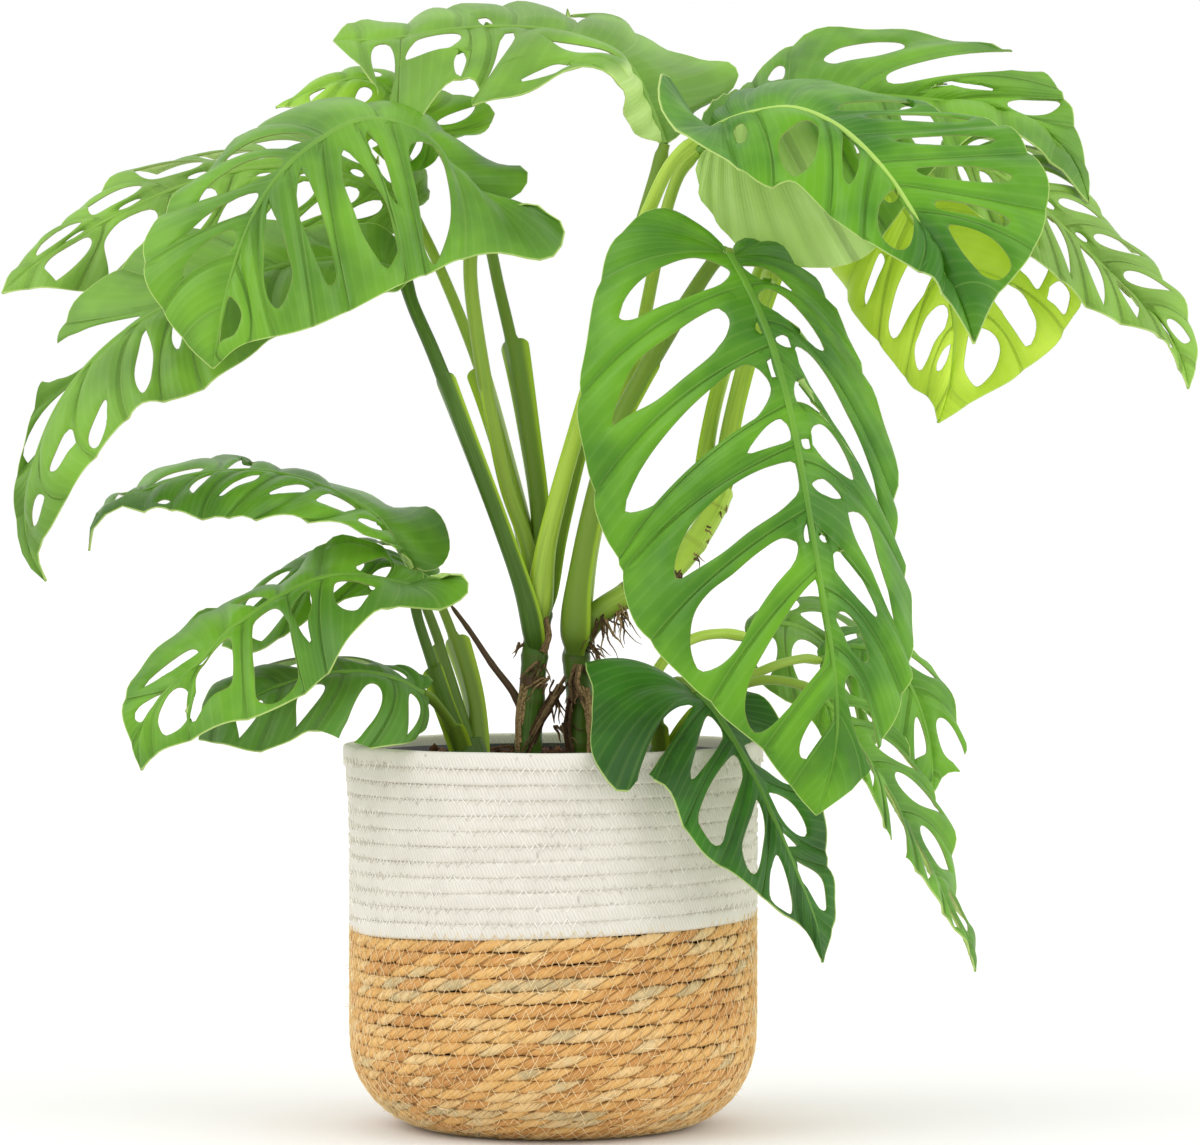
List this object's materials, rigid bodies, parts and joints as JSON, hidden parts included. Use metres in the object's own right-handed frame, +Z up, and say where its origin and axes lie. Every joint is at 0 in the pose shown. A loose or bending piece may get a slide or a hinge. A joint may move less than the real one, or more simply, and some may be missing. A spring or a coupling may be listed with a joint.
{
  "type": "potted monstera epipremnoides",
  "caption": "Climbing aroid house plant with long, perforated, arching leaves, standing in its nursery pot inside a coiled two-tone rope basket.",
  "frame": {"origin": "centre of the basket's flat underside", "axes": "+Z up, +X to the right as seen from the front, +Y away from the viewer"},
  "size_m": [0.6697, 0.2691, 0.6337],
  "materials": {
    "cotton_rope": "matt braided cotton rope, stitched row to row",
    "seagrass_rope": "dry twisted seagrass, stitched row to row",
    "black_plastic": "thin moulded nursery pot",
    "potting_soil": "loose peat and bark crumbs",
    "petiole_green": "smooth fleshy leaf stalks",
    "leaf_green": "leathery leaf with a soft gloss",
    "leaf_lime": "young yellow-green leaf with a soft gloss",
    "leaf_dark": "old dark leaf with a soft gloss"
  },
  "bodies": {
    "root": {"basket_cotton_wall": "cotton_rope", "basket_seagrass_body": "seagrass_rope", "nursery_pot": "black_plastic", "soil": "potting_soil", "left_shoot": "petiole_green", "climbing_shoot": "petiole_green", "small_shoot": "petiole_green", "low_shoot": "petiole_green", "leaf_hero": "leaf_green", "leaf_top": "leaf_green", "leaf_left_back": "leaf_lime", "leaf_left_front": "leaf_green", "leaf_left_far": "leaf_green", "leaf_left_low": "leaf_green", "leaf_right_front": "leaf_green", "leaf_right_back": "leaf_green", "leaf_right_far": "leaf_green", "leaf_right_low": "leaf_lime", "leaf_low_front": "leaf_dark", "leaf_low_right": "leaf_green", "leaf_low_back": "leaf_green", "leaf_low_inner": "leaf_green", "leaf_small_top": "leaf_green", "leaf_small_front": "leaf_green", "leaf_small_low": "leaf_dark", "leaf_small_back": "leaf_green"}
  },
  "joints": []
}
